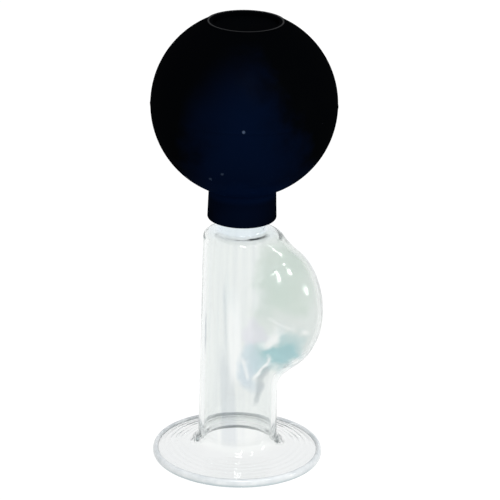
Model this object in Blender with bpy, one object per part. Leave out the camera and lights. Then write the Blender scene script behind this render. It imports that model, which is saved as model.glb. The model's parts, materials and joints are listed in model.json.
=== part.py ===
"""A glass breast reliever: a blown-glass body with a rubber squeeze bulb pushed over its neck.

Metres, +Z up. The origin is on the barrel's axis, in the plane that the flange stands on.
+X points from the barrel towards the side reservoir.
"""

import math

import bmesh
import bpy
from mathutils import Matrix

# Glass body: a flange to press on, a barrel, a side reservoir, and a neck for the bulb.
FLANGE_RADIUS = 0.03035
RIM_THICKNESS = 0.0032
RIM_FLAT = 0.0016
PLATE_THICKNESS = 0.0024
PLATE_LIFT = 0.0002
PLATE_RISE = 0.0019
FOOT_FILLET = 0.0045
BARREL_FOOT_RADIUS = 0.01405
BARREL_TOP_RADIUS = 0.0135
BARREL_TOP_HEIGHT = 0.0834
GLASS_WALL = 0.0019
SHOULDER_HEIGHT = 0.0038
NECK_RADIUS = 0.0086
NECK_WALL = 0.0021
NECK_ROOT_FILLET = 0.0014
NECK_SHOWING = 0.0035
NECK_SETBACK = 0.0011
NECK_LIP = 0.0007
HEEL_WIDTH = 0.0009
HEEL_HEIGHT = 0.0005

RESERVOIR_X = 0.0120
RESERVOIR_HEIGHT = 0.0550
RESERVOIR_REACH = 0.0175
RESERVOIR_HALF_WIDTH = 0.0143
RESERVOIR_RISE = 0.0267
RESERVOIR_DROP = 0.0232
RESERVOIR_WALL = 0.0017

# Rubber bulb: a thick collar that grips the neck, and a hollow ball that is squeezed.
COLLAR_LENGTH = 0.0114
COLLAR_FOOT_WALL = 0.00325
COLLAR_TOP_WALL = 0.0029
COLLAR_EDGE = 0.0007
BALL_RADIUS = 0.0325
BALL_WALL = 0.0028

# Crown of the ball: a raised lip round a recess, which holds the plug of the core hole.
LIP_RADIUS = 0.0137
LIP_WIDTH = 0.0023
LIP_RISE = 0.0004
RECESS_DEPTH = 0.0013
PLUG_THICKNESS = 0.0014
CORE_HOLE_RADIUS = 0.0070
CROWN_WALL = 0.0028

# Clearance between touching pieces, and how far a cutter runs past a face.
GAP = 0.0003
OVERRUN = 0.003

# Facets round each turned piece and the reservoir, and the angle past which a corner stays sharp.
AROUND = 48
RESERVOIR_AROUND = 32
RESERVOIR_RINGS = 16
SHARP_CORNER = math.radians(35)
# An arc that runs into a nearly flat plate stops this many degrees short of level.
PLATE_SLOPE = 10

# Radii that follow from the pieces that fit together.
COLLAR_BORE = NECK_RADIUS + GAP
COLLAR_FOOT_RADIUS = COLLAR_BORE + COLLAR_FOOT_WALL
COLLAR_TOP_RADIUS = COLLAR_BORE + COLLAR_TOP_WALL
RECESS_RADIUS = LIP_RADIUS - LIP_WIDTH
BALL_INNER = BALL_RADIUS - BALL_WALL

# Levels up the axis, from the plane that the flange stands on.
PLATE_TOP = PLATE_LIFT + PLATE_THICKNESS
SHOULDER_TOP = BARREL_TOP_HEIGHT + SHOULDER_HEIGHT
COLLAR_BOTTOM = SHOULDER_TOP + NECK_SHOWING
COLLAR_TOP = COLLAR_BOTTOM + COLLAR_LENGTH
NECK_TIP = COLLAR_TOP - NECK_SETBACK
BALL_CENTRE = COLLAR_TOP + math.sqrt(BALL_RADIUS**2 - COLLAR_TOP_RADIUS**2)
BALL_FOOT = COLLAR_TOP + GAP
CROWN_TOP = BALL_CENTRE + math.sqrt(BALL_RADIUS**2 - LIP_RADIUS**2) + LIP_RISE
PLUG_TOP = CROWN_TOP - RECESS_DEPTH
RECESS_FLOOR = PLUG_TOP - PLUG_THICKNESS - GAP
CROWN_CEILING = RECESS_FLOOR - CROWN_WALL


def clear_scene():
    for obj in list(bpy.data.objects):
        bpy.data.objects.remove(obj, do_unlink=True)


def arc(centre_r, centre_z, radius, start, end, steps):
    """Points (r, z) on an arc, from the angle start to the angle end, both in degrees."""
    points = []
    for step in range(steps + 1):
        angle = math.radians(start + (end - start) * step / steps)
        points.append((centre_r + radius * math.cos(angle), centre_z + radius * math.sin(angle)))
    return points


def elevation(radius, r):
    """The elevation, in degrees, of the point at distance r from the axis on a ball of this radius."""
    return math.degrees(math.acos(r / radius))


def barrel_radius(z):
    """The barrel's outer radius at a height: it narrows evenly from its foot to its shoulder."""
    share = z / BARREL_TOP_HEIGHT
    return BARREL_FOOT_RADIUS + (BARREL_TOP_RADIUS - BARREL_FOOT_RADIUS) * share


def turned(name, profile, ring=False):
    """A solid turned about the Z axis from its outline of (r, z) points.

    A ring's outline closes on itself; any other outline starts and ends on the axis.
    """
    bm = bmesh.new()
    verts = [bm.verts.new((r, 0.0, z)) for r, z in profile]
    pairs = list(zip(verts, verts[1:]))
    if ring:
        pairs.append((verts[-1], verts[0]))
    edges = [bm.edges.new(pair) for pair in pairs]
    bmesh.ops.spin(bm, geom=verts + edges, cent=(0, 0, 0), axis=(0, 0, 1), angle=math.tau, steps=AROUND)
    bmesh.ops.remove_doubles(bm, verts=bm.verts, dist=1e-6)
    bmesh.ops.recalc_face_normals(bm, faces=bm.faces)
    return finished(name, bm)


def pouch(name, wall):
    """The reservoir's egg shape, drawn in by a wall: it rises further than it drops."""
    bm = bmesh.new()
    bmesh.ops.create_uvsphere(bm, u_segments=RESERVOIR_AROUND, v_segments=RESERVOIR_RINGS, radius=1.0)
    for vert in bm.verts:
        height = RESERVOIR_RISE if vert.co.z > 0 else RESERVOIR_DROP
        vert.co.x *= RESERVOIR_REACH - wall
        vert.co.y *= RESERVOIR_HALF_WIDTH - wall
        vert.co.z *= height - wall
    bmesh.ops.transform(bm, matrix=Matrix.Translation((RESERVOIR_X, 0, RESERVOIR_HEIGHT)), verts=bm.verts)
    return finished(name, bm)


def finished(name, bm):
    """Turn a bmesh into an object in the scene, shaded smooth apart from its sharp corners."""
    mesh = bpy.data.meshes.new(name)
    bm.to_mesh(mesh)
    bm.free()
    mesh.shade_smooth()
    mesh.set_sharp_from_angle(angle=SHARP_CORNER)
    obj = bpy.data.objects.new(name, mesh)
    bpy.context.scene.collection.objects.link(obj)
    return obj


def combine(obj, other, operation):
    """Join to, or cut from, one object with a guide object that stays out of the model."""
    boolean = obj.modifiers.new(other.name, "BOOLEAN")
    boolean.operation = operation
    boolean.object = other
    boolean.solver = "EXACT"
    other.hide_render = True
    other.display_type = "WIRE"


def coat(obj, colour, roughness, transmission=0.0):
    """Give an object its own material."""
    material = bpy.data.materials.new(obj.name)
    material.use_nodes = True
    shader = material.node_tree.nodes["Principled BSDF"]
    shader.inputs["Base Color"].default_value = (*colour, 1.0)
    shader.inputs["Roughness"].default_value = roughness
    shader.inputs["Metallic"].default_value = 0.0
    shader.inputs["Transmission Weight"].default_value = transmission
    obj.data.materials.append(material)


def glass_outline():
    """The outer outline: flange rim, plate, foot fillet, barrel, shoulder and neck."""
    rim = RIM_THICKNESS / 2
    rim_r = FLANGE_RADIUS - rim
    foot_r = barrel_radius(0) + FOOT_FILLET
    foot_z = PLATE_TOP + PLATE_RISE
    points = [(0, 0)]
    points += arc(rim_r, rim, rim, -90, 90, 6)
    points.append((rim_r - rim, PLATE_TOP))
    points += arc(foot_r, foot_z + FOOT_FILLET, FOOT_FILLET, 270 - PLATE_SLOPE, 180, 5)
    points.append((barrel_radius(BARREL_TOP_HEIGHT / 2), BARREL_TOP_HEIGHT / 2))
    root_r = NECK_RADIUS + NECK_ROOT_FILLET
    crest_z = SHOULDER_TOP - NECK_ROOT_FILLET
    points += shoulder(BARREL_TOP_RADIUS, root_r, BARREL_TOP_HEIGHT, crest_z, 5)
    points += arc(root_r, SHOULDER_TOP, NECK_ROOT_FILLET, 270, 180, 4)
    points += arc(NECK_RADIUS - NECK_LIP, NECK_TIP - NECK_LIP, NECK_LIP, 0, 90, 3)
    points.append((0, NECK_TIP))
    return points


def shoulder(low_r, high_r, low_z, high_z, steps):
    """A quarter of an ellipse from an upright wall at low_r in to a level one at high_r."""
    return [
        (high_r + (low_r - high_r) * math.cos(turn), low_z + (high_z - low_z) * math.sin(turn))
        for turn in (math.pi / 2 * step / steps for step in range(steps + 1))
    ]


def bore_outline():
    """The cavity: a shallow funnel under the plate, the bore, and the way up through the neck."""
    mouth_r = FLANGE_RADIUS - RIM_THICKNESS / 2 - RIM_FLAT
    foot_r = barrel_radius(0) - GLASS_WALL + FOOT_FILLET
    foot_z = PLATE_LIFT + PLATE_RISE + FOOT_FILLET
    bore_top = BARREL_TOP_RADIUS - GLASS_WALL
    neck_bore = NECK_RADIUS - NECK_WALL
    points = [(0, -OVERRUN), (mouth_r, -OVERRUN), (mouth_r, 0)]
    points.append((mouth_r - HEEL_WIDTH, PLATE_LIFT + HEEL_HEIGHT))
    points += arc(foot_r, foot_z, FOOT_FILLET, 270 - PLATE_SLOPE, 180, 5)
    points += shoulder(bore_top, neck_bore, BARREL_TOP_HEIGHT, SHOULDER_TOP - GLASS_WALL, 5)
    points += [(neck_bore, NECK_TIP + OVERRUN), (0, NECK_TIP + OVERRUN)]
    return points


def make_glass_body():
    body = turned("glass_body", glass_outline())
    combine(body, pouch("reservoir_outside", 0.0), "UNION")
    combine(body, turned("bore_cavity", bore_outline()), "DIFFERENCE")
    combine(body, pouch("reservoir_cavity", RESERVOIR_WALL), "DIFFERENCE")
    coat(body, (0.86, 0.92, 0.91), 0.05, transmission=1.0)


def make_bulb_collar():
    """The collar: a thick sleeve with a slightly wider foot, whose lower edge is rounded."""
    edge = COLLAR_EDGE
    profile = [(COLLAR_BORE, COLLAR_TOP), (COLLAR_BORE, COLLAR_BOTTOM)]
    profile += arc(COLLAR_FOOT_RADIUS - edge, COLLAR_BOTTOM + edge, edge, -90, 0, 3)
    profile.append((COLLAR_TOP_RADIUS, COLLAR_TOP))
    coat(turned("bulb_collar", profile, ring=True), (0.004, 0.005, 0.012), 0.5)


def make_bulb_ball():
    """The hollow ball: open below into the collar, and above at the core hole."""
    foot = -math.degrees(math.asin((BALL_CENTRE - BALL_FOOT) / BALL_RADIUS))
    lip = elevation(BALL_RADIUS, LIP_RADIUS)
    ceiling = math.degrees(math.asin((CROWN_CEILING - BALL_CENTRE) / BALL_INNER))
    throat = -elevation(BALL_INNER, COLLAR_BORE)
    profile = arc(0, BALL_CENTRE, BALL_RADIUS, foot, lip, 18)
    profile += [(LIP_RADIUS, CROWN_TOP), (RECESS_RADIUS, CROWN_TOP), (RECESS_RADIUS, RECESS_FLOOR)]
    profile += [(CORE_HOLE_RADIUS, RECESS_FLOOR), (CORE_HOLE_RADIUS, CROWN_CEILING)]
    profile += arc(0, BALL_CENTRE, BALL_INNER, ceiling, throat, 12)
    profile.append((COLLAR_BORE, BALL_FOOT))
    coat(turned("bulb_ball", profile, ring=True), (0.002, 0.004, 0.018), 0.45)


def make_crown_plug():
    """The plug: a disc that fills the recess, on a stem that fills the core hole."""
    disc_r = RECESS_RADIUS - GAP
    disc_bottom = PLUG_TOP - PLUG_THICKNESS
    stem_r = CORE_HOLE_RADIUS - GAP
    profile = [(0, CROWN_CEILING), (stem_r, CROWN_CEILING), (stem_r, disc_bottom)]
    profile += [(disc_r, disc_bottom), (disc_r, PLUG_TOP), (0, PLUG_TOP)]
    coat(turned("crown_plug", profile), (0.003, 0.006, 0.022), 0.5)


clear_scene()
make_glass_body()
make_bulb_collar()
make_bulb_ball()
make_crown_plug()
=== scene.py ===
# %% [markdown]
# # A glass breast reliever
# The object is two things pushed together: a body of clear blown glass that stands on a wide flange, and a
# dark rubber ball whose collar grips the glass neck. The moving model is already made. This lesson loads it
# as a fixed frame and builds the looks round it: the glass skin, the rubber, the light and the camera.

# %% Load the frame
import json
import math

import bmesh
import bpy
import numpy as np
from mathutils import Matrix, Vector


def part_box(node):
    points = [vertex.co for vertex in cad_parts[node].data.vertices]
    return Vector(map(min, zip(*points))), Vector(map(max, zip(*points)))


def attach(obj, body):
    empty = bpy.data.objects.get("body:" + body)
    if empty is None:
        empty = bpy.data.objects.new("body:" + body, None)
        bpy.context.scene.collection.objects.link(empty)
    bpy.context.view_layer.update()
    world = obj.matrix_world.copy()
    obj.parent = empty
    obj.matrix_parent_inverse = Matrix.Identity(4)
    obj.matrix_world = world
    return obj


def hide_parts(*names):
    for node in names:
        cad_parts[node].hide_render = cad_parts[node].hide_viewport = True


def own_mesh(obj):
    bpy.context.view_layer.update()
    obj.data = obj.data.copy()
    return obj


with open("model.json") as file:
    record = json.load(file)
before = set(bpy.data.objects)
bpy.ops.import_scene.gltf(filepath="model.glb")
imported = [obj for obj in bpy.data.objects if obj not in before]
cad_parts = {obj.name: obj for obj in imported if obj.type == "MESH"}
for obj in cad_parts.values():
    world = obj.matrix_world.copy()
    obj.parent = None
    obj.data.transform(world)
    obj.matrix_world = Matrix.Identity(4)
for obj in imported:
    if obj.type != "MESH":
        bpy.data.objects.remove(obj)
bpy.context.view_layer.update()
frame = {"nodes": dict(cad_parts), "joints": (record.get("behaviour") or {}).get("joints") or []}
print("nodes:", ", ".join(sorted(frame["nodes"])))

# %% [markdown]
# Sizes that the frame knows are read from it, so that a skin can't drift from the part that it covers. The
# boxes of the four nodes give the flange, the neck's tip, the collar, the ball and the plug.

# %% Read the sizes from the frame
glass_low, glass_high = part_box("glass_body")
collar_low, collar_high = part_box("bulb_collar")
ball_low, ball_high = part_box("bulb_ball")
plug_low, plug_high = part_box("crown_plug")
FLANGE_RADIUS = glass_high.x
NECK_TIP = glass_high.z
COLLAR_RADIUS = collar_high.x
COLLAR_BOTTOM = collar_low.z
COLLAR_TOP = collar_high.z
BALL_RADIUS = ball_high.x
BALL_FOOT = ball_low.z
CROWN_TOP = ball_high.z
PLUG_RADIUS = plug_high.x
PLUG_TOP = plug_high.z
print(f"flange {2000 * FLANGE_RADIUS:.1f} mm, ball {2000 * BALL_RADIUS:.1f} mm")
print(f"{1000 * CROWN_TOP:.1f} mm tall")

# %% [markdown]
# ## Camera
# The camera stands about a metre away, well above the ball, and looks down at the middle of the barrel
# through a long lens, which keeps the tube's sides nearly parallel. It is turned by a degree, so that the
# object leans a little to the right.

# %% Set up the camera
VIEW_DISTANCE = 0.995
VIEW_HEIGHT = 0.4577
VIEW_TARGET = Vector((0.0031, 0, 0.0784))
VIEW_ROLL = math.radians(1.25)
camera_data = bpy.data.cameras.new("camera")
camera_data.lens = 217.8
camera_data.sensor_width = 36
camera_data.clip_end = 50
camera = bpy.data.objects.new("camera", camera_data)
bpy.context.scene.collection.objects.link(camera)
camera.location = (0, -VIEW_DISTANCE, VIEW_HEIGHT)
aim = (VIEW_TARGET - camera.location).to_track_quat("-Z", "Y").to_matrix().to_4x4()
camera.rotation_euler = (aim @ Matrix.Rotation(VIEW_ROLL, 4, "Z")).to_euler()
bpy.context.scene.camera = camera
print("camera at", [round(value, 3) for value in camera.location])

# %% [markdown]
# ## Turning an outline
# A flared glass and a rubber moulding are both turned shapes. By hand, a turned shape starts as one vertex,
# which is extruded from point to point along the outline, and Spin then sweeps the outline round the Z axis.
# An outline that closes on itself gives a wall with two sides; one that ends on the axis gives a solid.


# %% Points of an outline
def arc(centre, radii, start, end, steps):
    """Points (r, z) on a round or oval arc between two angles in degrees."""
    turns = [math.radians(start + (end - start) * step / steps) for step in range(steps + 1)]
    return [(centre[0] + radii[0] * math.cos(t), centre[1] + radii[1] * math.sin(t)) for t in turns]


def between(start, end, steps):
    """Points (r, z) on a straight line, without its two ends."""
    shares = [step / steps for step in range(1, steps)]
    return [(start[0] + (end[0] - start[0]) * s, start[1] + (end[1] - start[1]) * s) for s in shares]


# %% Modelling by hand, in edit mode
AROUND = 160


def start_clean():
    """Leave edit mode and deselect everything, because an operator acts on all that is selected."""
    if bpy.context.object and bpy.context.object.mode != "OBJECT":
        bpy.ops.object.mode_set(mode="OBJECT")
    bpy.ops.object.select_all(action="DESELECT")


def draw_outline(name, outline):
    """Extrude one vertex along an outline, and stay in edit mode with all of it selected."""
    start_clean()
    bpy.ops.mesh.primitive_plane_add(size=0.001)
    obj = bpy.context.object
    obj.name = obj.data.name = name
    bpy.ops.object.mode_set(mode="EDIT")
    bpy.ops.mesh.merge(type="CENTER")
    bpy.ops.transform.translate(value=(outline[0][0], 0, outline[0][1]))
    for (r0, z0), (r1, z1) in zip(outline, outline[1:]):
        bpy.ops.mesh.extrude_region_move(TRANSFORM_OT_translate={"value": (r1 - r0, 0, z1 - z0)})
    return obj


def close_outline(obj):
    """Join the outline's two loose ends with an edge."""
    bpy.ops.mesh.select_all(action="DESELECT")
    bm = bmesh.from_edit_mesh(obj.data)
    for vert in bm.verts:
        vert.select = len(vert.link_edges) == 1
    bm.select_flush(True)
    bmesh.update_edit_mesh(obj.data)
    bpy.ops.mesh.edge_face_add()


def turn(name, outline, closed=True):
    """Sweep an outline of (r, z) points round the Z axis into a smooth solid."""
    obj = draw_outline(name, outline)
    if closed:
        close_outline(obj)
    bpy.ops.mesh.select_all(action="SELECT")
    bpy.ops.mesh.spin(steps=AROUND, angle=math.tau, center=(0, 0, 0), axis=(0, 0, 1))
    bpy.ops.mesh.select_all(action="SELECT")
    bpy.ops.mesh.remove_doubles(threshold=0.000002)
    bpy.ops.mesh.normals_make_consistent(inside=False)
    bpy.ops.object.mode_set(mode="OBJECT")
    bpy.ops.object.shade_smooth_by_angle(angle=math.radians(50))
    print(f"{name}: {len(obj.data.polygons)} faces")
    return obj


# %% [markdown]
# ## Glass body
# The body is lamp-blown from one tube. Its end is flared into the flange, its side is heated and blown out
# into the reservoir, and its other end is drawn in to the neck. So it is one skin with two sides: the outline
# runs up the outside, over the neck's tip and down the inside. The flange is pressed flat while it spins,
# which leaves the shallow rings on the plate, and its rim is melted round.

# %% Sizes of the glass
GAP = 0.0003
RIM_WIDTH = 0.0020
BEAD_WIDTH = 0.0021
BEAD_OVERLAP = 0.0010
RIM_HEIGHT = 0.0032
PLATE_LIFT = 0.0002
PLATE_TOP = 0.0026
PLATE_RISE = 0.0019
PLATE_SLOPE = 8
FOOT_FILLET = 0.0045
BARREL_FOOT_RADIUS = 0.01405
BARREL_TOP_RADIUS = 0.0135
BARREL_TOP_HEIGHT = 0.0834
FOOT_WALL = 0.0018
TOP_WALL = 0.0013
SHOULDER_TOP = 0.0872
SHOULDER_WALL = 0.0010
NECK_RADIUS = 0.0086
NECK_WALL = 0.0012
NECK_ROOT_FILLET = 0.0011
RING_SPACING = 0.0021
RING_HEIGHT = 0.00005


def barrel_radius(z):
    """The barrel narrows evenly from its foot to its shoulder."""
    return BARREL_FOOT_RADIUS + (BARREL_TOP_RADIUS - BARREL_FOOT_RADIUS) * z / BARREL_TOP_HEIGHT


def barrel_wall(z):
    """The wall was drawn thinner towards the shoulder."""
    return FOOT_WALL + (TOP_WALL - FOOT_WALL) * z / BARREL_TOP_HEIGHT


# %% Draw the outside and the inside
def ringed(points):
    """Raise the plate's points into shallow rings, which die out at the rim and at the foot."""
    inner, outer = points[-1][0], points[0][0]
    raised = []
    for r, z in points:
        share = (r - inner) / (outer - inner)
        fade = math.sin(math.pi * share)
        raised.append((r, z + RING_HEIGHT * fade * math.sin(math.tau * (r - inner) / RING_SPACING)))
    return raised


def glass_outside():
    edge = (FLANGE_RADIUS - RIM_WIDTH, PLATE_TOP)
    points = [(edge[0] + BEAD_OVERLAP, PLATE_LIFT + GAP), (edge[0] + BEAD_OVERLAP, PLATE_TOP - GAP)]
    foot_r = barrel_radius(0) + FOOT_FILLET
    foot_z = PLATE_TOP + PLATE_RISE + FOOT_FILLET
    fillet = arc((foot_r, foot_z), (FOOT_FILLET, FOOT_FILLET), 270 - PLATE_SLOPE, 180, 14)
    points += ringed([edge] + between(edge, fillet[0], 48)) + fillet
    root_r = NECK_RADIUS + NECK_ROOT_FILLET
    crest_z = SHOULDER_TOP - NECK_ROOT_FILLET
    crest_size = (BARREL_TOP_RADIUS - root_r, crest_z - BARREL_TOP_HEIGHT)
    crest = arc((root_r, BARREL_TOP_HEIGHT), crest_size, 0, 90, 12)
    points += between(fillet[-1], crest[0], 130) + crest
    points += arc((root_r, SHOULDER_TOP), (NECK_ROOT_FILLET, NECK_ROOT_FILLET), 262, 180, 8)
    return points


def glass_tip():
    tip = NECK_WALL / 2
    return arc((NECK_RADIUS - tip, NECK_TIP - tip), (tip, tip), 0, 180, 10)


def glass_inside():
    root_r = NECK_RADIUS + NECK_ROOT_FILLET
    root = (NECK_ROOT_FILLET + NECK_WALL, NECK_ROOT_FILLET + SHOULDER_WALL)
    crest = arc((root_r, SHOULDER_TOP), root, 180, 262, 8)
    ceiling = SHOULDER_TOP - root[1] - BARREL_TOP_HEIGHT
    crest += arc((root_r, BARREL_TOP_HEIGHT), (BARREL_TOP_RADIUS - TOP_WALL - root_r, ceiling), 84, 0, 12)
    foot_r = barrel_radius(0) + FOOT_FILLET
    foot_z = PLATE_TOP + PLATE_RISE + FOOT_FILLET
    foot = (FOOT_FILLET + FOOT_WALL, FOOT_FILLET + PLATE_TOP - PLATE_LIFT)
    mouth = arc((foot_r, foot_z), foot, 180, 270 - PLATE_SLOPE, 14)
    heel = (FLANGE_RADIUS - RIM_WIDTH, PLATE_LIFT)
    return crest + between(crest[-1], mouth[0], 130) + mouth + between(mouth[-1], heel, 16) + [heel]


def bead_outline():
    """An oval ring that hangs over the edge of the plate."""
    half = (BEAD_WIDTH / 2, RIM_HEIGHT / 2)
    return arc((FLANGE_RADIUS - half[0], half[1]), half, 0, 345, 23)


glass = turn("clear_glass_body", glass_outside() + glass_tip() + glass_inside())
rim_bead = turn("melted_rim_bead", bead_outline())

# %% [markdown]
# ## Reservoir
# The reservoir grows out of the barrel's side with no seam. Joining an egg to a tube with a Boolean would
# leave a hard line and a ragged mesh, and refraction shows every flaw. So the skin is pushed out instead.
# Two shapes are written as distances: the tube, and an egg-shaped pouch. Where the two distances are nearly
# equal they run into each other softly, as hot glass does. Each vertex then moves straight out from the axis
# until it stands on the joined shape. The weld is softest under the pouch, where the glass sags into it.

# %% Sizes of the reservoir
POUCH_CENTRE = (0.0120, 0.0, 0.0550)
POUCH_REACH = 0.0175
POUCH_HALF_WIDTH = 0.0143
POUCH_RISE = 0.0262
POUCH_DROP = 0.0224
POUCH_WALL = 0.0018
WELD_SIDE = 0.0014
WELD_UNDER = 0.0070
WELD_OVER = 0.0085
UNDER_WELD = (0.042, 0.034)
OVER_WELD = (0.072, 0.082)
BLOWN_FROM = 0.012
BLOWN_REACH = 0.035
HALVINGS = 40


def smooth_step(low, high, value):
    share = np.clip((value - low) / (high - low), 0, 1)
    return share * share * (3 - 2 * share)


def pouch_distance(spot, wall):
    """Roughly how far a spot lies outside the pouch, whose skin is drawn in by a wall."""
    rise = np.where(spot[2] > POUCH_CENTRE[2], POUCH_RISE, POUCH_DROP)
    sizes = (POUCH_REACH - wall, POUCH_HALF_WIDTH - wall, rise - wall)
    shares = [(spot[axis] - POUCH_CENTRE[axis]) / sizes[axis] for axis in range(3)]
    size = np.sqrt(sum(share**2 for share in shares))
    slope = np.sqrt(sum((share / sizes[axis]) ** 2 for axis, share in enumerate(shares)))
    return size * (size - 1) / np.maximum(slope, 1e-6)


def joined_distance(reach, angle, z, tube, wall):
    """The distance outside the softly joined tube and pouch, at a reach from the axis."""
    spot = (reach * np.cos(angle), reach * np.sin(angle), z)
    to_tube = reach - tube
    to_pouch = pouch_distance(spot, wall)
    weld = WELD_SIDE + (WELD_UNDER - WELD_SIDE) * smooth_step(*UNDER_WELD, z)
    weld = weld + (WELD_OVER - WELD_SIDE) * smooth_step(*OVER_WELD, z) + wall / 2
    near = np.clip(weld - np.abs(to_tube - to_pouch), 0, None) / weld
    return np.minimum(to_tube, to_pouch) - near**2 * weld / 4


# %% Blow the skin out
def blow_out(points, wall):
    """Move points straight out from the axis, onto the joined shape."""
    angle = np.arctan2(points[:, 1], points[:, 0])
    tube = np.hypot(points[:, 0], points[:, 1])
    low, high = tube.copy(), tube + BLOWN_REACH
    for _ in range(HALVINGS):
        middle = (low + high) / 2
        inside = joined_distance(middle, angle, points[:, 2], tube, wall) < 0
        low = np.where(inside, middle, low)
        high = np.where(inside, high, middle)
    return np.column_stack((low * np.cos(angle), low * np.sin(angle), points[:, 2]))


skin = np.array([vert.co for vert in glass.data.vertices])
skin_radius = np.hypot(skin[:, 0], skin[:, 1])
root = NECK_RADIUS + NECK_ROOT_FILLET
on_body = (skin[:, 2] > BLOWN_FROM) & (skin[:, 2] < SHOULDER_TOP) & (skin_radius > root)
halfway = barrel_radius(skin[:, 2]) - barrel_wall(skin[:, 2]) / 2
out_share = (skin_radius - root) / (BARREL_TOP_RADIUS - root)
up_share = (skin[:, 2] - BARREL_TOP_HEIGHT) / (SHOULDER_TOP - NECK_ROOT_FILLET - BARREL_TOP_HEIGHT)
on_crest = (up_share > 0) & (out_share**2 + up_share**2 > 0.8)
outside = on_body & np.where(up_share > 0, on_crest, skin_radius > halfway)
inside = on_body & ~outside
skin[outside] = blow_out(skin[outside], 0.0)
skin[inside] = blow_out(skin[inside], POUCH_WALL)
glass.data.vertices.foreach_set("co", skin.ravel())
glass.data.update()
print(f"reservoir reaches {1000 * skin[on_body, 0].max():.1f} mm from the axis")

# %% [markdown]
# ## Rubber bulb
# Ball and collar are one rubber moulding. They are two pieces here, because the ball flattens when it is
# squeezed and the thick collar doesn't. The ball's foot sits on the collar at the same radius, so no joint
# shows between them. Round the middle runs a thin ridge, where the two halves of the mould met.

# %% Sizes of the rubber
LIP_RADIUS = 0.0137
LIP_EDGE = 0.0003
RECESS_RADIUS = PLUG_RADIUS + GAP
RECESS_FLOOR = plug_low.z + 0.0028
CROWN_CEILING = plug_low.z
CORE_HOLE_RADIUS = 0.0070
PLUG_DISH = 0.0002
COLLAR_TOP_RADIUS = 0.0118
COLLAR_EDGE = 0.0007
COLLAR_BORE = NECK_RADIUS + GAP
BALL_WALL = 0.0028
BALL_INNER = BALL_RADIUS - BALL_WALL
BALL_CENTRE = COLLAR_TOP + math.sqrt(BALL_RADIUS**2 - COLLAR_TOP_RADIUS**2)
PARTING_RIDGE = 0.00012
PARTING_HALF_WIDTH = 0.0005


# %% Turn the ball
def latitude(radius, r):
    """The latitude in degrees of the circle of radius r on a ball."""
    return math.degrees(math.acos(r / radius))


def ridged(points):
    """Raise the points beside the ball's middle into the parting ridge."""
    raised = []
    for r, z in points:
        share = abs(z - BALL_CENTRE) / PARTING_HALF_WIDTH
        raised.append((r + PARTING_RIDGE * max(0, 1 - share) ** 0.5, z))
    return raised


def ball_outline():
    south = -latitude(BALL_RADIUS, COLLAR_TOP_RADIUS)
    north = latitude(BALL_RADIUS, LIP_RADIUS)
    ridge = math.degrees(PARTING_HALF_WIDTH / BALL_RADIUS)
    centre = (0, BALL_CENTRE)
    outer = (BALL_RADIUS, BALL_RADIUS)
    points = arc(centre, outer, south, -ridge, 56)
    points += ridged(arc(centre, outer, -ridge, ridge, 8)[1:-1])
    points += arc(centre, outer, ridge, north, 56)
    edge = (LIP_EDGE, LIP_EDGE)
    points += arc((LIP_RADIUS - LIP_EDGE, CROWN_TOP - LIP_EDGE), edge, 0, 90, 5)
    points += arc((RECESS_RADIUS + LIP_EDGE, CROWN_TOP - LIP_EDGE), edge, 90, 180, 5)
    points += [(RECESS_RADIUS, RECESS_FLOOR), (CORE_HOLE_RADIUS, RECESS_FLOOR)]
    points += [(CORE_HOLE_RADIUS, CROWN_CEILING)]
    ceiling = math.degrees(math.asin((CROWN_CEILING - BALL_CENTRE) / BALL_INNER))
    points += arc(centre, (BALL_INNER, BALL_INNER), ceiling, -latitude(BALL_INNER, COLLAR_BORE), 40)
    points += [(COLLAR_BORE, BALL_FOOT - GAP)]
    return points


ball = turn("squeeze_ball", ball_outline())


# %% Turn the collar and the plug
def collar_outline():
    edge = (COLLAR_EDGE, COLLAR_EDGE)
    points = [(COLLAR_BORE, COLLAR_TOP), (COLLAR_BORE, COLLAR_BOTTOM + COLLAR_EDGE)]
    points += arc((COLLAR_BORE + COLLAR_EDGE, COLLAR_BOTTOM + COLLAR_EDGE), edge, 180, 270, 5)
    points += arc((COLLAR_RADIUS - COLLAR_EDGE, COLLAR_BOTTOM + COLLAR_EDGE), edge, -90, 0, 8)
    points += [(COLLAR_TOP_RADIUS, COLLAR_TOP)]
    return points


def plug_outline():
    stem = CORE_HOLE_RADIUS - GAP
    disc_bottom = RECESS_FLOOR + GAP
    edge = (LIP_EDGE, LIP_EDGE)
    points = [(0, CROWN_CEILING), (stem, CROWN_CEILING), (stem, disc_bottom), (PLUG_RADIUS, disc_bottom)]
    points += arc((PLUG_RADIUS - LIP_EDGE, PLUG_TOP - LIP_EDGE), edge, 0, 90, 5)
    dished = PLUG_TOP - PLUG_DISH
    points += [(PLUG_RADIUS * 0.86, PLUG_TOP), (PLUG_RADIUS * 0.80, dished), (0, dished)]
    return points


collar = turn("neck_collar", collar_outline())
plug = turn("closing_plug", plug_outline(), closed=False)

# %% [markdown]
# ## Shader maths
# Materials are written as expressions. A small class wraps a socket, and adding or multiplying two of them
# adds a Math node. Any other node comes from one method.


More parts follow.
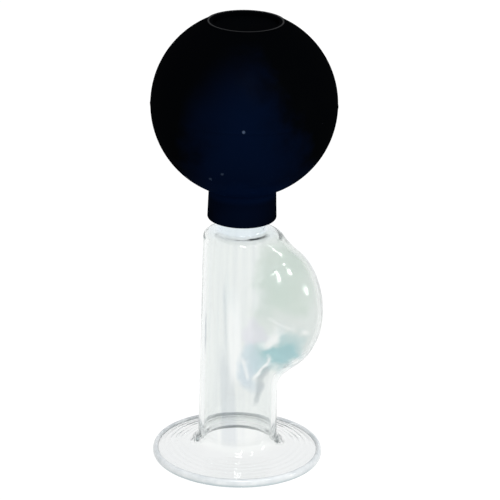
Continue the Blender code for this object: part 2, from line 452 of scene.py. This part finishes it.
# %% A socket that can be calculated with
class Tap:
    def __init__(self, tree, socket):
        self.tree = tree
        self.socket = socket

    def node(self, kind, settings=None, **values):
        """Add a node: its settings first, then a value or a link for each socket, named or numbered."""
        made = self.tree.nodes.new("ShaderNode" + kind)
        for name, value in (settings or {}).items():
            setattr(made, name, value)
        for name, value in values.items():
            key = int(name[1:]) if name[0] == "_" and name[1:].isdigit() else name.replace("_", " ")
            if isinstance(value, Tap):
                self.tree.links.new(value.socket, made.inputs[key])
            else:
                made.inputs[key].default_value = value
        return made

    def out(self, made, name=0):
        return Tap(self.tree, made.outputs[name])

    def maths(self, operation, *values):
        """A Math node on values or taps, numbered in order."""
        numbered = {f"_{index}": value for index, value in enumerate(values)}
        return self.out(self.node("Math", {"operation": operation}, **numbered))

    def __add__(self, other):
        return self.maths("ADD", self, other)

    __radd__ = __add__

    def __sub__(self, other):
        return self.maths("SUBTRACT", self, other)

    def __rsub__(self, other):
        return self.maths("SUBTRACT", other, self)

    def __mul__(self, other):
        return self.maths("MULTIPLY", self, other)

    __rmul__ = __mul__

    def step(self, low, high):
        """0 below low and 1 above high, turning smoothly between; the other way round if low is higher."""
        if low > high:
            return 1 - self.step(high, low)
        smooth = {"interpolation_type": "SMOOTHSTEP"}
        return self.out(self.node("MapRange", smooth, Value=self, From_Min=low, From_Max=high))

    def tint(self, first, second):
        """Mix two colours by this share."""
        made = self.node("Mix", {"data_type": "RGBA"}, _0=self, _6=first, _7=second)
        return self.out(made, 2)


def new_material(name):
    """A material with a Principled BSDF, its Object coordinates and their x, y and z."""
    material = bpy.data.materials.new(name)
    material.use_nodes = True
    tree = material.node_tree
    start = Tap(tree, None)
    spot = start.out(start.node("TexCoord"), "Object")
    parts = start.node("SeparateXYZ", Vector=spot)
    axes = [start.out(parts, index) for index in range(3)]
    return material, tree, tree.nodes["Principled BSDF"], spot, axes


def noise(spot, scale, detail=2.0, roughness=0.5):
    return spot.out(spot.node("TexNoise", Vector=spot, Scale=scale, Detail=detail, Roughness=roughness), 0)


def stretch(spot, size):
    """The same coordinates, stretched by three factors, so that a pattern runs along an axis."""
    return spot.out(spot.node("Mapping", None, Vector=spot, Scale=size))


# %% [markdown]
# ## Clear glass
# Lamp-worked glass is clear but not perfect. The tube carries long streaks, called striae, that run up the
# barrel from the drawing. Beside them, darker bands and a dark line inside the left wall are painted shade,
# and a pale band is painted light, standing in for the way the tube bends the tent's light. The reservoir,
# blown from hotter glass, is greyer and greener, with a teal pool where the glass sagged at its bottom and a
# bluish tail where it runs back into the barrel. Its skin is lumpy and not quite as bright as the barrel's,
# so a lamp leaves a softer mark on it. Round the pool, thin pale strokes are painted highlights and a dark
# stroke along the crease is painted shade; each is a short tint between two points. On the shoulder, a dark
# arc is a painted reflection of the black collar, and the neck under the collar has a painted blue-grey
# shade. Everything is placed by the object's own coordinates, so the pattern stays with the glass.


# %% Masks on the glass
def band(value, low, high, soft):
    """1 between low and high, with soft edges."""
    return value.step(low - soft, low + soft) * value.step(high + soft, high - soft)


def blob(x, z, centre, size):
    """1 in the middle of an oval on the front of the glass, and 0 outside it."""
    across = (x - centre[0]) * (1 / size[0])
    up = (z - centre[1]) * (1 / size[1])
    return (across * across + up * up).step(1.3, 0.05)


def stroke(x, z, start, end, width):
    """1 along a straight line on the front of the glass, and 0 beside it and past its ends."""
    length = math.dist(start, end)
    run, rise = (end[0] - start[0]) / length, (end[1] - start[1]) / length
    along = (x - start[0]) * run + (z - start[1]) * rise
    across = (x - start[0]) * rise - (z - start[1]) * run
    return band(across, -width / 2, width / 2, width / 3) * band(along, 0, length, width)


# %% Start the glass
GLASS_CLEAR = (0.895, 0.915, 0.905, 1)
GLASS_PAINTED_LIGHT = (0.985, 0.99, 0.99, 1)
GLASS_STREAK_AND_SHADE = (0.77, 0.80, 0.815, 1)
GLASS_PAINTED_SHADE = (0.38, 0.43, 0.46, 1)

glass_finish, tree, shader, spot, (x, y, z) = new_material("lampworked_glass")
wander = noise(spot, 95, 3.0) - 0.5
front = y.step(0.003, -0.003)
edge_x = x + wander * 0.018
edge_z = z + (noise(spot, 130, 4.0) - 0.5) * 0.018

# %% Streaks up the barrel, with painted shade and painted light
barrel = z.step(0.006, 0.012) * z.step(0.0875, 0.083)
lean = x + z * 0.05
fine = noise(stretch(spot, (1, 1, 0.03)), 330, 3.0).step(0.46, 0.66) * 0.4
# The dark band and the thin dark line up the front are painted shade: dark bands that refraction shows in the
# tube. The fine streaks are striae.
painted_shade_band = band(lean, -0.0048, 0.0004, 0.0009) * z.step(0.050, 0.036) * front
# The pale band up the front is painted light: a bright band that refraction shows in the tube.
painted_light_band = band(lean, -0.0012, 0.0030, 0.0010) * z.step(0.028, 0.040) * z.step(0.072, 0.056) * front
painted_shade_line = band(lean, -0.0026, -0.0016, 0.0004) * band(z, 0.046, 0.068, 0.004) * front
# A thin dark line just inside the left wall is painted shade, where the inner wall refracts.
painted_wall_shade = band(x, -0.0122, -0.0117, 0.0002) * band(z, 0.043, 0.056, 0.004) * front
streaks_and_shade = (fine + painted_shade_band + painted_shade_line * 0.8) * barrel
colour = streaks_and_shade.tint(GLASS_CLEAR, GLASS_STREAK_AND_SHADE)
colour = painted_wall_shade.tint(colour, GLASS_PAINTED_SHADE)
print("barrel streaks:", len(tree.nodes), "nodes so far")

# %% Painted shade on the neck, painted reflection of the collar, and the flange
GLASS_NECK_SHADE = (0.82, 0.88, 0.93, 1)
PAINTED_COLLAR_REFLECTION = (0.010, 0.013, 0.016, 1)
GLASS_PLATE = (0.855, 0.868, 0.866, 1)
COLLAR_REFLECTION_INNER = 0.0098
COLLAR_REFLECTION_OUTER = 0.0112

# The neck under the collar gets a painted blue-grey shade from the dark collar above it.
colour = z.step(0.0848, 0.0866).tint(colour, GLASS_NECK_SHADE)
reach = x * x + y * y
# The dark arc on the shoulder is a painted reflection of the black collar in the fillet.
collar_reflection = band(reach, COLLAR_REFLECTION_INNER**2, COLLAR_REFLECTION_OUTER**2, 0.000006) * band(x, 0.0024, 0.0086, 0.0010) * front
collar_reflection = collar_reflection * z.step(0.0850, 0.0858)
colour = collar_reflection.tint(colour, PAINTED_COLLAR_REFLECTION)
# Painted light: the pale band up the front of the barrel.
colour = (painted_light_band * 0.9).tint(colour, GLASS_PAINTED_LIGHT)
colour = z.step(0.0075, 0.0045).tint(colour, GLASS_PLATE)
print("neck and flange:", len(tree.nodes), "nodes so far")

# %% Tints of the reservoir
GLASS_POUCH = (0.83, 0.86, 0.845, 1)
GLASS_GREEN = (0.70, 0.78, 0.72, 1)
GLASS_TAIL = (0.68, 0.76, 0.82, 1)
GLASS_HAZE = (0.82, 0.81, 0.87, 1)
GLASS_TEAL = (0.42, 0.64, 0.67, 1)

pouch = edge_x.step(0.0045, 0.0080) * edge_z.step(0.030, 0.040) * z.step(0.088, 0.080)
colour = pouch.tint(colour, GLASS_POUCH)
green = blob(edge_x, edge_z, (0.0155, 0.0710), (0.0112, 0.0150)) * front
colour = (green * 0.9).tint(colour, GLASS_GREEN)
tail = blob(edge_x, edge_z, (0.0050, 0.0400), (0.0048, 0.0125)) * front
colour = (tail * 0.9).tint(colour, GLASS_TAIL)
haze = blob(edge_x, edge_z, (0.0055, 0.0530), (0.0050, 0.0070)) * front
colour = (haze * 0.8).tint(colour, GLASS_HAZE)
skirt = blob(edge_x, edge_z, (0.0125, 0.0430), (0.0105, 0.0070)) * front
pool = blob(edge_x, edge_z, (0.0165, 0.0452), (0.0090, 0.0078)) * front
colour = (skirt * 0.45 + pool * 0.75).tint(colour, GLASS_TEAL)
print("reservoir tints:", len(tree.nodes), "nodes so far")

# %% Painted highlights and painted shade round the pool
# Each stroke has its start and its end in x and z, and its width. A painted highlight also has a strength.
GLASS_HIGHLIGHT_WHITE = (1, 1, 1, 1)
CREASE_SHADE_LINE = ((0.0104, 0.0385), (0.0060, 0.0249), 0.0022)
PAINTED_HIGHLIGHTS = (
    ((0.0083, 0.0463), (0.0144, 0.0530), 0.0030, 1.0),
    ((0.0110, 0.0425), (0.0062, 0.0327), 0.0012, 0.8),
    ((0.0014, 0.0420), (0.0042, 0.0330), 0.0012, 0.6),
    ((0.0110, 0.0561), (0.0194, 0.0537), 0.0008, 0.5),
    ((0.0222, 0.0524), (0.0238, 0.0508), 0.0016, 1.0),
)

bent_x = x + wander * 0.006
bent_z = z - wander * 0.010
# A dark stroke along the crease under the pool is painted shade.
painted_crease_shade = stroke(bent_x, bent_z, *CREASE_SHADE_LINE) * front * 0.55
colour = painted_crease_shade.tint(colour, GLASS_PAINTED_SHADE)
# Each white stroke is a painted highlight: a glint of the lamps on the reservoir.
for start, end, width, strength in PAINTED_HIGHLIGHTS:
    colour = (stroke(bent_x, bent_z, start, end, width) * front * strength).tint(colour, GLASS_HIGHLIGHT_WHITE)
tree.links.new(colour.socket, shader.inputs["Base Color"])
print(len(PAINTED_HIGHLIGHTS), "folds catch the light")

# %% Skin and body of the glass
pulls = noise(stretch(spot, (1, 1, 0.10)), 300, 2.0)
lumps = noise(spot, 150, 2.0) * 0.75 + noise(spot, 420, 1.0) * 0.25
height = pulls * barrel * 0.25 + lumps * pouch * front * 0.4
bump = spot.node("Bump", None, Strength=0.35, Distance=0.0007, Height=height)
tree.links.new(bump.outputs[0], shader.inputs["Normal"])
ripple = pouch * 0.13
tree.links.new(ripple.socket, shader.inputs["Roughness"])
shader.inputs["IOR"].default_value = 1.5
shader.inputs["Transmission Weight"].default_value = 1.0
absorb = tree.nodes.new("ShaderNodeVolumeAbsorption")
absorb.inputs["Color"].default_value = (0.45, 0.62, 0.58, 1)
absorb.inputs["Density"].default_value = 4
tree.links.new(absorb.outputs[0], tree.nodes["Material Output"].inputs["Volume"])
glass.data.materials.append(glass_finish)
print(glass_finish.name, "has", len(tree.nodes), "nodes")

# %% [markdown]
# The rim was melted in the flame after it had been ground, which leaves a milky bead with a satin skin.
# It is a ring of its own, fused over the edge of the plate, in a nearly opaque white glass.

# %% Make the rim bead
rim_finish, tree, shader, spot, (x, y, z) = new_material("melted_rim")
cloudy = noise(spot, 220, 3.0).step(0.35, 0.7)
colour = cloudy.tint((0.68, 0.70, 0.70, 1), (0.56, 0.59, 0.60, 1))
# The bottom of the bead is darker: painted contact shade where it meets the table.
painted_contact_shade = z.step(0.0016, 0.0004)
colour = painted_contact_shade.tint(colour, (0.42, 0.50, 0.52, 1))
tree.links.new(colour.socket, shader.inputs["Base Color"])
satin = 0.12 + noise(spot, 300, 2.0) * 0.2
tree.links.new(satin.socket, shader.inputs["Roughness"])
bump = spot.node("Bump", None, Strength=0.25, Distance=0.0003, Height=noise(spot, 260, 2.0))
tree.links.new(bump.outputs[0], shader.inputs["Normal"])
shader.inputs["Transmission Weight"].default_value = 0.15
rim_bead.data.materials.append(rim_finish)
print(rim_finish.name, "has", len(tree.nodes), "nodes")

# %% [markdown]
# ## Rubber
# The rubber is nearly black and almost without shine. Over the middle of the front and low on the ball, a
# faint
# blue is painted light: the front lamp's glow and the bright table's glow from below. The mould left a fine
# grain, dust has left a few specks, and the lip round the crown has been rubbed smooth, which a thin clear
# coat shows. The lip's mask asks only for the upper half of the ball, so that the shine stays on the lip when
# the ball is squeezed.

# %% Painted light and dust on the rubber
RUBBER_DEEP = (0.0005, 0.0007, 0.0010, 1)
RUBBER_PAINTED_GLOW = (0.0006, 0.0036, 0.0155, 1)
DUST = (0.05, 0.07, 0.11, 1)
DUST_SIZE = (0.0006, 0.0006)
DUST_SPECKS = (((0.000, 0.133), 0.8), ((-0.011, 0.113), 0.3), ((-0.007, 0.116), 0.3))

rubber_finish, tree, shader, spot, (x, y, z) = new_material("moulded_rubber")
clouds = noise(spot, 38, 4.0, 0.6) - 0.5
drift = z + clouds * 0.030
# Painted light: the blue in the middle of the front is the front lamp's glow, and the blue low on the ball
# and collar is the bright table's glow.
middle = blob(x + clouds * 0.030, drift, (0.0, 0.118), (0.021, 0.038)) * y.step(0.020, -0.030)
low = drift.step(0.115, 0.100) * 0.42 * z.step(0.0985, 0.1010)
painted_glow = middle * 0.65 + low
colour = painted_glow.tint(RUBBER_DEEP, RUBBER_PAINTED_GLOW)
for place, strength in DUST_SPECKS:
    speck = blob(x, z, place, DUST_SIZE) * y.step(0.0, -0.004)
    colour = (speck * strength).tint(colour, DUST)
tree.links.new(colour.socket, shader.inputs["Base Color"])
print(len(DUST_SPECKS), "specks of dust")

# %% Grain and shine of the rubber
LIP_MIDDLE = LIP_RADIUS - 0.0008
LIP_HALF_WIDTH = 0.0002

grain = noise(spot, 1500, 2.0) * 0.6 + noise(spot, 300, 3.0) * 0.4
bump = spot.node("Bump", None, Strength=0.10, Distance=0.0003, Height=grain)
tree.links.new(bump.outputs[0], shader.inputs["Normal"])
worn = 0.42 + noise(spot, 80, 3.0) * 0.16
tree.links.new(worn.socket, shader.inputs["Roughness"])
away = x * x + y * y
on_edge = band(away, (LIP_MIDDLE - LIP_HALF_WIDTH) ** 2, (LIP_MIDDLE + LIP_HALF_WIDTH) ** 2, 0.000006)
rubbed = on_edge * z.step(BALL_CENTRE + 0.002, BALL_CENTRE + 0.006)
shine = rubbed * 0.32 + 0.004
tree.links.new(shine.socket, shader.inputs["Coat Weight"])
shader.inputs["Coat Roughness"].default_value = 0.35
shader.inputs["Coat Tint"].default_value = (0.7, 0.85, 1.0, 1)
shader.inputs["Specular IOR Level"].default_value = 0.0
for piece in (ball, collar, plug):
    piece.data.materials.append(rubber_finish)
print(rubber_finish.name, "has", len(tree.nodes), "nodes")

# %% [markdown]
# ## Floor and light
# The object stands on a glowing table inside a light tent, so white comes at the glass from every side, and
# it shows itself only by its tints, its edges and the black rubber that it mirrors. Small lamps in front of
# the tent's opening and at its right leave bright marks on the reservoir, the shoulder and the flange.

# %% Lay the floor
start_clean()
bpy.ops.mesh.primitive_plane_add(size=12, location=(0, 0, 0))
floor = bpy.context.object
floor.name = "floor"
floor_finish, _, shader, _, _ = new_material("glowing_table")
shader.inputs["Base Color"].default_value = (0.04, 0.04, 0.04, 1)
shader.inputs["Roughness"].default_value = 0.9
shader.inputs["Specular IOR Level"].default_value = 0.0
shader.inputs["Emission Color"].default_value = (1, 1, 1, 1)
shader.inputs["Emission Strength"].default_value = 1.0
floor.data.materials.append(floor_finish)


# %% Set the lamps and the tent
def soft_lamp(name, place, target, size, power):
    data = bpy.data.lights.new(name, "AREA")
    data.shape = "RECTANGLE"
    data.size, data.size_y = size
    data.energy = power
    lamp = bpy.data.objects.new(name, data)
    bpy.context.scene.collection.objects.link(lamp)
    lamp.location = place
    lamp.rotation_euler = (Vector(target) - Vector(place)).to_track_quat("-Z", "Y").to_euler()


soft_lamp("near_lamp", (0.30, -1.5, 0.95), (0, 0, 0.08), (0.08, 0.30), 6)
soft_lamp("side_lamp", (0.95, -0.9, 1.0), (0, 0, 0.08), (0.07, 0.26), 4)
soft_lamp("top_lamp", (0.10, -1.5, 1.60), (0, 0, 0.08), (0.60, 0.30), 16)
soft_lamp("low_lamp", (1.5, -0.3, 0.20), (0, 0, 0.08), (0.24, 0.16), 2)

world = bpy.data.worlds.new("light_tent")
bpy.context.scene.world = world
world.use_nodes = True
background = world.node_tree.nodes["Background"]
tent = Tap(world.node_tree, None)
direction = tent.out(tent.node("TexCoord"), "Generated")
up = tent.out(tent.node("SeparateXYZ", None, Vector=direction), 2)
shade = up.step(0.15, 0.6).tint((1, 1, 1, 1), (0.86, 0.88, 0.92, 1))
world.node_tree.links.new(shade.socket, background.inputs["Color"])
background.inputs["Strength"].default_value = 1.0
bpy.context.scene.view_settings.view_transform = "Standard"

# %% [markdown]
# Light that is caught inside the glass wall turns back many times before it gets out. With too few turns
# the path is cut off and the edge goes black, so the paths are made longer than usual.

# %% Let the light turn often enough
paths = bpy.context.scene.cycles
paths.max_bounces = 128
paths.glossy_bounces = 64
paths.transmission_bounces = 128

# %% [markdown]
# ## Put the pieces on their bodies
# Each piece rides on the body of the node that it stands for. The ball gets a mesh of its own, and the share
# of its height that it would keep when the crown is pushed down is worked out.

# %% Ride on the bodies
for piece, body, node, finish in (
    (glass, "glass", "glass_body", "clear_glass"),
    (rim_bead, "glass", "glass_body", "clear_glass"),
    (ball, "bulb", "bulb_ball", "bulb_rubber"),
    (collar, "bulb", "bulb_collar", "bulb_rubber"),
    (plug, "crown", "crown_plug", "bulb_rubber"),
):
    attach(piece, body)
    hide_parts(node)

squeeze = next(joint for joint in frame["joints"] if joint["name"] == "bulb_squeeze")
travel = squeeze["range_m"][1]
kept = 1 - travel / (RECESS_FLOOR - BALL_FOOT)
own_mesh(ball)
print(f"the ball keeps {100 * kept:.0f}% of its height")
